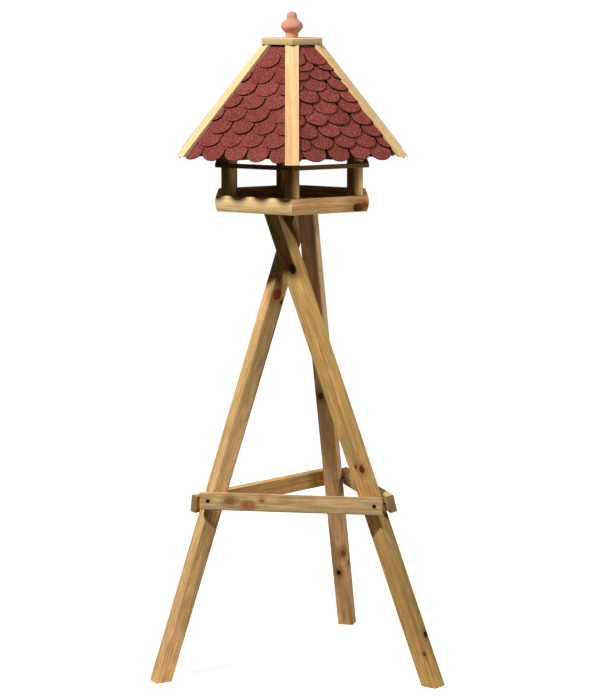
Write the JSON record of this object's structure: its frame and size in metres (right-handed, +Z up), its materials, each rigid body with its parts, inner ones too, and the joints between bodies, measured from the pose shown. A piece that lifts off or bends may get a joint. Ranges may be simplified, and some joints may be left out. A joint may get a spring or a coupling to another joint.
{
  "type": "bird table",
  "caption": "Open six-sided bird feeder with a scalloped shingle roof and turned finial, standing on a crossed wooden tripod with stretchers.",
  "frame": {"origin": "on the ground, under the middle of the whole table's bounding box", "axes": "+Z up, -Y towards the front corner of the six-sided feeder, +X to the right seen from the front"},
  "size_m": [0.6206, 0.609, 1.3891],
  "materials": {
    "treated_pine": "planed, golden-brown pressure treatment",
    "pale_pine": "planed, untreated",
    "dark_pine": "dark olive-brown treatment",
    "grey_board": "rough board, grey",
    "beech": "turned, smooth",
    "red_shingle": "bitumen felt faced with red-brown mineral granules",
    "dark_steel": "dark, plated"
  },
  "bodies": {
    "root": {"cap": "pale_pine", "finial": "beech", "ridge_batten_front": "pale_pine", "ridge_batten_right_front": "pale_pine", "ridge_batten_right_back": "pale_pine", "ridge_batten_back": "pale_pine", "ridge_batten_left_back": "pale_pine", "ridge_batten_left_front": "pale_pine", "shingles_front_right": "red_shingle", "shingles_right": "red_shingle", "shingles_back_right": "red_shingle", "shingles_back_left": "red_shingle", "shingles_left": "red_shingle", "shingles_front_left": "red_shingle", "roof_board_front_right": "grey_board", "roof_board_right": "grey_board", "roof_board_back_right": "grey_board", "roof_board_back_left": "grey_board", "roof_board_left": "grey_board", "roof_board_front_left": "grey_board", "ring_lath_front_right": "dark_pine", "ring_lath_right": "dark_pine", "ring_lath_back_right": "dark_pine", "ring_lath_back_left": "dark_pine", "ring_lath_left": "dark_pine", "ring_lath_front_left": "dark_pine", "post_front": "treated_pine", "post_right_front": "treated_pine", "post_right_back": "treated_pine", "post_back": "treated_pine", "post_left_back": "treated_pine", "post_left_front": "treated_pine", "tray_floor": "grey_board", "tray_rim_front_right": "treated_pine", "tray_rim_right": "treated_pine", "tray_rim_back_right": "treated_pine", "tray_rim_back_left": "treated_pine", "tray_rim_left": "treated_pine", "tray_rim_front_left": "treated_pine", "leg_right": "treated_pine", "leg_left": "treated_pine", "leg_rear": "treated_pine", "stretcher_front": "treated_pine", "stretcher_right": "treated_pine", "stretcher_left": "treated_pine", "screw_stretcher_front_leg_left": "dark_steel", "screw_stretcher_front_leg_right": "dark_steel", "screw_stretcher_right_leg_right": "dark_steel", "screw_stretcher_right_leg_rear": "dark_steel", "screw_stretcher_left_leg_rear": "dark_steel", "screw_stretcher_left_leg_left": "dark_steel", "screw_leg_crossing": "dark_steel", "screw_floor_leg_left": "dark_steel", "screw_floor_leg_right": "dark_steel", "screw_floor_leg_rear": "dark_steel"}
  },
  "joints": []
}
